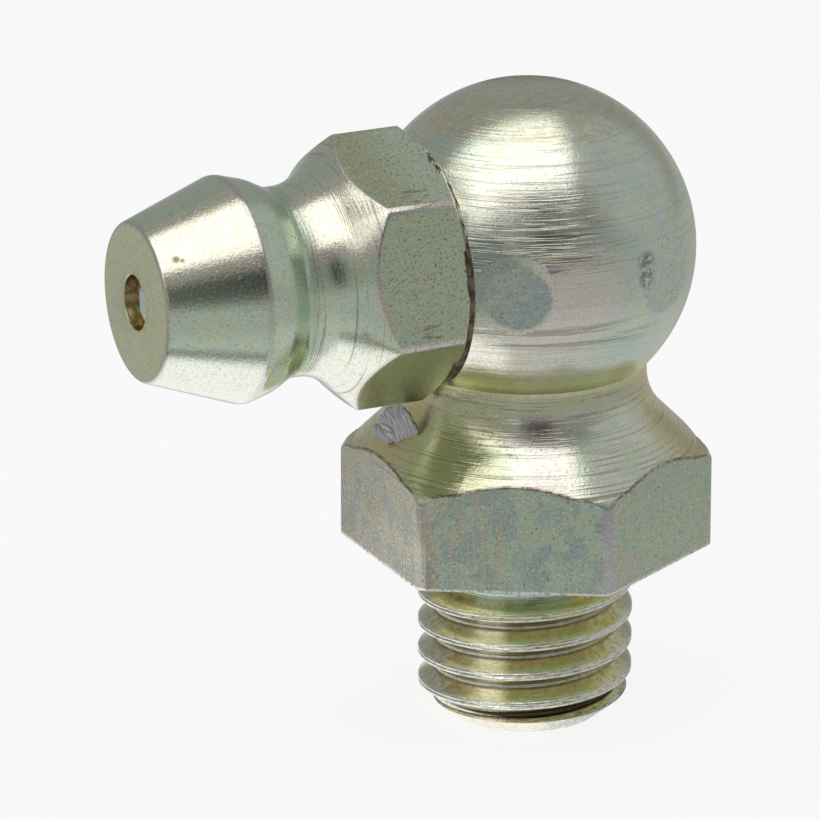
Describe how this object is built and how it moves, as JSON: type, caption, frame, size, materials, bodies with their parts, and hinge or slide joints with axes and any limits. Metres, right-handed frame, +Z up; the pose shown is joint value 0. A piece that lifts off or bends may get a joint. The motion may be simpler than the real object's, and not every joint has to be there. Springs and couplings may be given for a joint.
{
  "type": "grease nipple",
  "caption": "Right-angle grease nipple with a threaded shank, hexagon, ball-shaped elbow and pressed-in coupler head with a sprung check ball.",
  "frame": {"origin": "centre of the hexagon's underside, on the thread's axis", "axes": "+Z up along the thread's axis to the ball, +X along the nipple head's axis to its mouth"},
  "size_m": [0.0171, 0.0108, 0.0189],
  "materials": {
    "zinc_plated_body": "zinc plated, iridescent blue and yellow passivation",
    "zinc_plated_head": "zinc plated, iridescent blue and yellow passivation",
    "ball_steel": "polished",
    "spring_wire": "drawn wire"
  },
  "bodies": {
    "fitting": {"elbow_body": "zinc_plated_body", "nipple_head": "zinc_plated_head", "ball_spring": "spring_wire"},
    "ball": {"check_ball": "ball_steel"}
  },
  "joints": [
    {"name": "ball_slide", "type": "slide", "parent": "fitting", "child": "ball", "axis": [-1, 0, 0], "range_m": [0, 0.006], "stiffness_N_per_m": 1080, "springref_m": -0.0008, "deforming": ["ball_spring"]}
  ]
}
